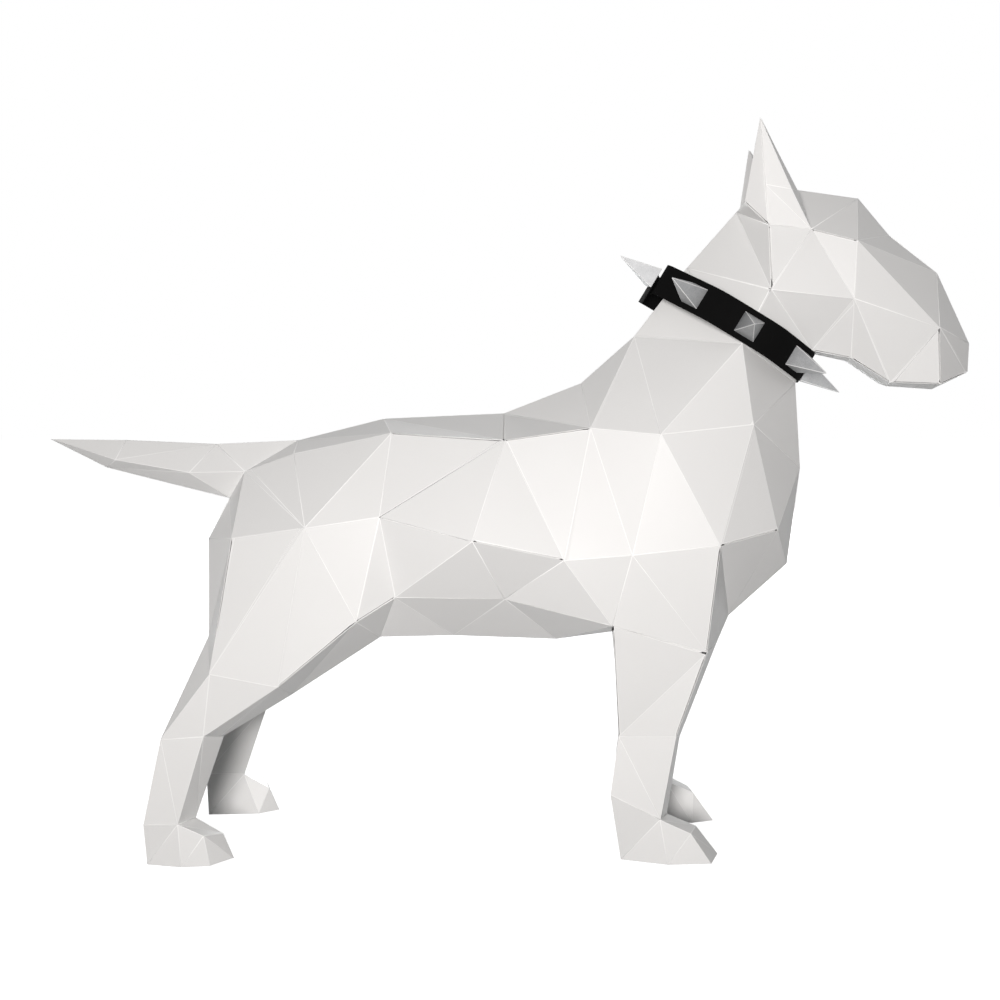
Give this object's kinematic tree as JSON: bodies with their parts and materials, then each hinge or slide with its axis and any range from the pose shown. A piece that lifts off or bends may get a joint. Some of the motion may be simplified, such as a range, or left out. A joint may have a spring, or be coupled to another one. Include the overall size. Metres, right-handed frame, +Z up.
{
  "type": "paper dog model",
  "caption": "Standing bull terrier folded from white card in flat facets, with a tapering tail, pointed ears and a black strap collar set with silver pyramid spikes.",
  "frame": {"origin": "on the floor, under the middle of the dog's overall length and width", "axes": "+X forwards from the tail to the nose, +Y to the dog's left, +Z up"},
  "size_m": [0.598, 0.1348, 0.4535],
  "materials": {
    "white_card": "matte",
    "black_card": "matte",
    "silver_card": "satin metallic"
  },
  "bodies": {
    "root": {"back": "white_card", "belly": "white_card", "cheek_left": "white_card", "cheek_right": "white_card", "chest_lower": "white_card", "chest_upper": "white_card", "collar_strap": "black_card", "crown_sheet": "white_card", "ear_left": "white_card", "ear_right": "white_card", "flank_left": "white_card", "flank_right": "white_card", "fore_paw_left": "white_card", "fore_paw_right": "white_card", "fore_shank_left": "white_card", "fore_shank_right": "white_card", "forearm_inner_left": "white_card", "forearm_inner_right": "white_card", "forearm_outer_left": "white_card", "forearm_outer_right": "white_card", "gaskin_left": "white_card", "gaskin_right": "white_card", "hind_paw_left": "white_card", "hind_paw_right": "white_card", "hind_shank_left": "white_card", "hind_shank_right": "white_card", "inner_thigh_left": "white_card", "inner_thigh_right": "white_card", "lower_jaw": "white_card", "muzzle_left": "white_card", "muzzle_right": "white_card", "nape": "white_card", "neck": "white_card", "nose_front": "white_card", "ribs_left": "white_card", "ribs_right": "white_card", "rump_left": "white_card", "rump_middle": "white_card", "rump_right": "white_card", "shoulder_lower_left": "white_card", "shoulder_lower_right": "white_card", "shoulder_upper_left": "white_card", "shoulder_upper_right": "white_card", "spike_front_left": "silver_card", "spike_front_right": "silver_card", "spike_nape": "silver_card", "spike_rear_left": "silver_card", "spike_rear_right": "silver_card", "spike_side_left": "silver_card", "spike_side_right": "silver_card", "spike_throat": "silver_card", "tail": "white_card", "thigh_left": "white_card", "thigh_right": "white_card", "throat_sheet": "white_card", "upper_arm_left": "white_card", "upper_arm_right": "white_card", "withers_sheet": "white_card"}
  },
  "joints": []
}
